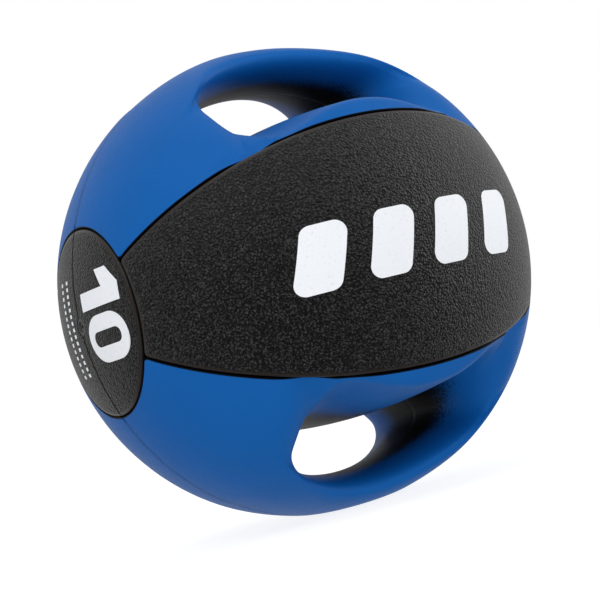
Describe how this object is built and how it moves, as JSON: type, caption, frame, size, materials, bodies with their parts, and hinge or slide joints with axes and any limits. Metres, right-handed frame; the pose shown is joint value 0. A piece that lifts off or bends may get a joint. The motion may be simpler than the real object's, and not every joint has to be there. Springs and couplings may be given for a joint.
{
  "type": "medicine ball",
  "caption": "Round rubber medicine ball with a hand slot and moulded grip bar at top and bottom, black side panels and end caps inlaid in a blue cover, and a needle valve.",
  "frame": {"origin": "centre of the ball", "axes": "+Z through the middle of the upper grip, -X through the end cap with the valve, -Y through the middle of the front side panel"},
  "size_m": [0.2799, 0.2802, 0.2758],
  "materials": {
    "blue_rubber": "semi-matte, fine grain",
    "black_rubber": "coarse pebble grain",
    "core_rubber": "matt",
    "nylon_thread": "wound thread",
    "butyl_rubber": "smooth",
    "white_ink": "screen-printed ink film"
  },
  "bodies": {
    "root": {"cover_front_top": "blue_rubber", "cover_front_bottom": "blue_rubber", "cover_rear_top": "blue_rubber", "cover_rear_bottom": "blue_rubber", "panel_front": "black_rubber", "panel_rear": "black_rubber", "cap_left_front": "black_rubber", "cap_left_rear": "black_rubber", "cap_right_front": "black_rubber", "cap_right_rear": "black_rubber", "core_front": "core_rubber", "core_rear": "core_rubber", "grip_core_top": "core_rubber", "grip_core_bottom": "core_rubber", "winding": "nylon_thread", "bladder": "butyl_rubber", "valve_housing": "butyl_rubber", "valve_plug": "butyl_rubber", "emblem_front": "white_ink", "emblem_rear": "white_ink", "weight_mark_left": "white_ink", "weight_mark_right": "white_ink", "tick_marks_left": "white_ink", "tick_marks_right": "white_ink"}
  },
  "joints": []
}
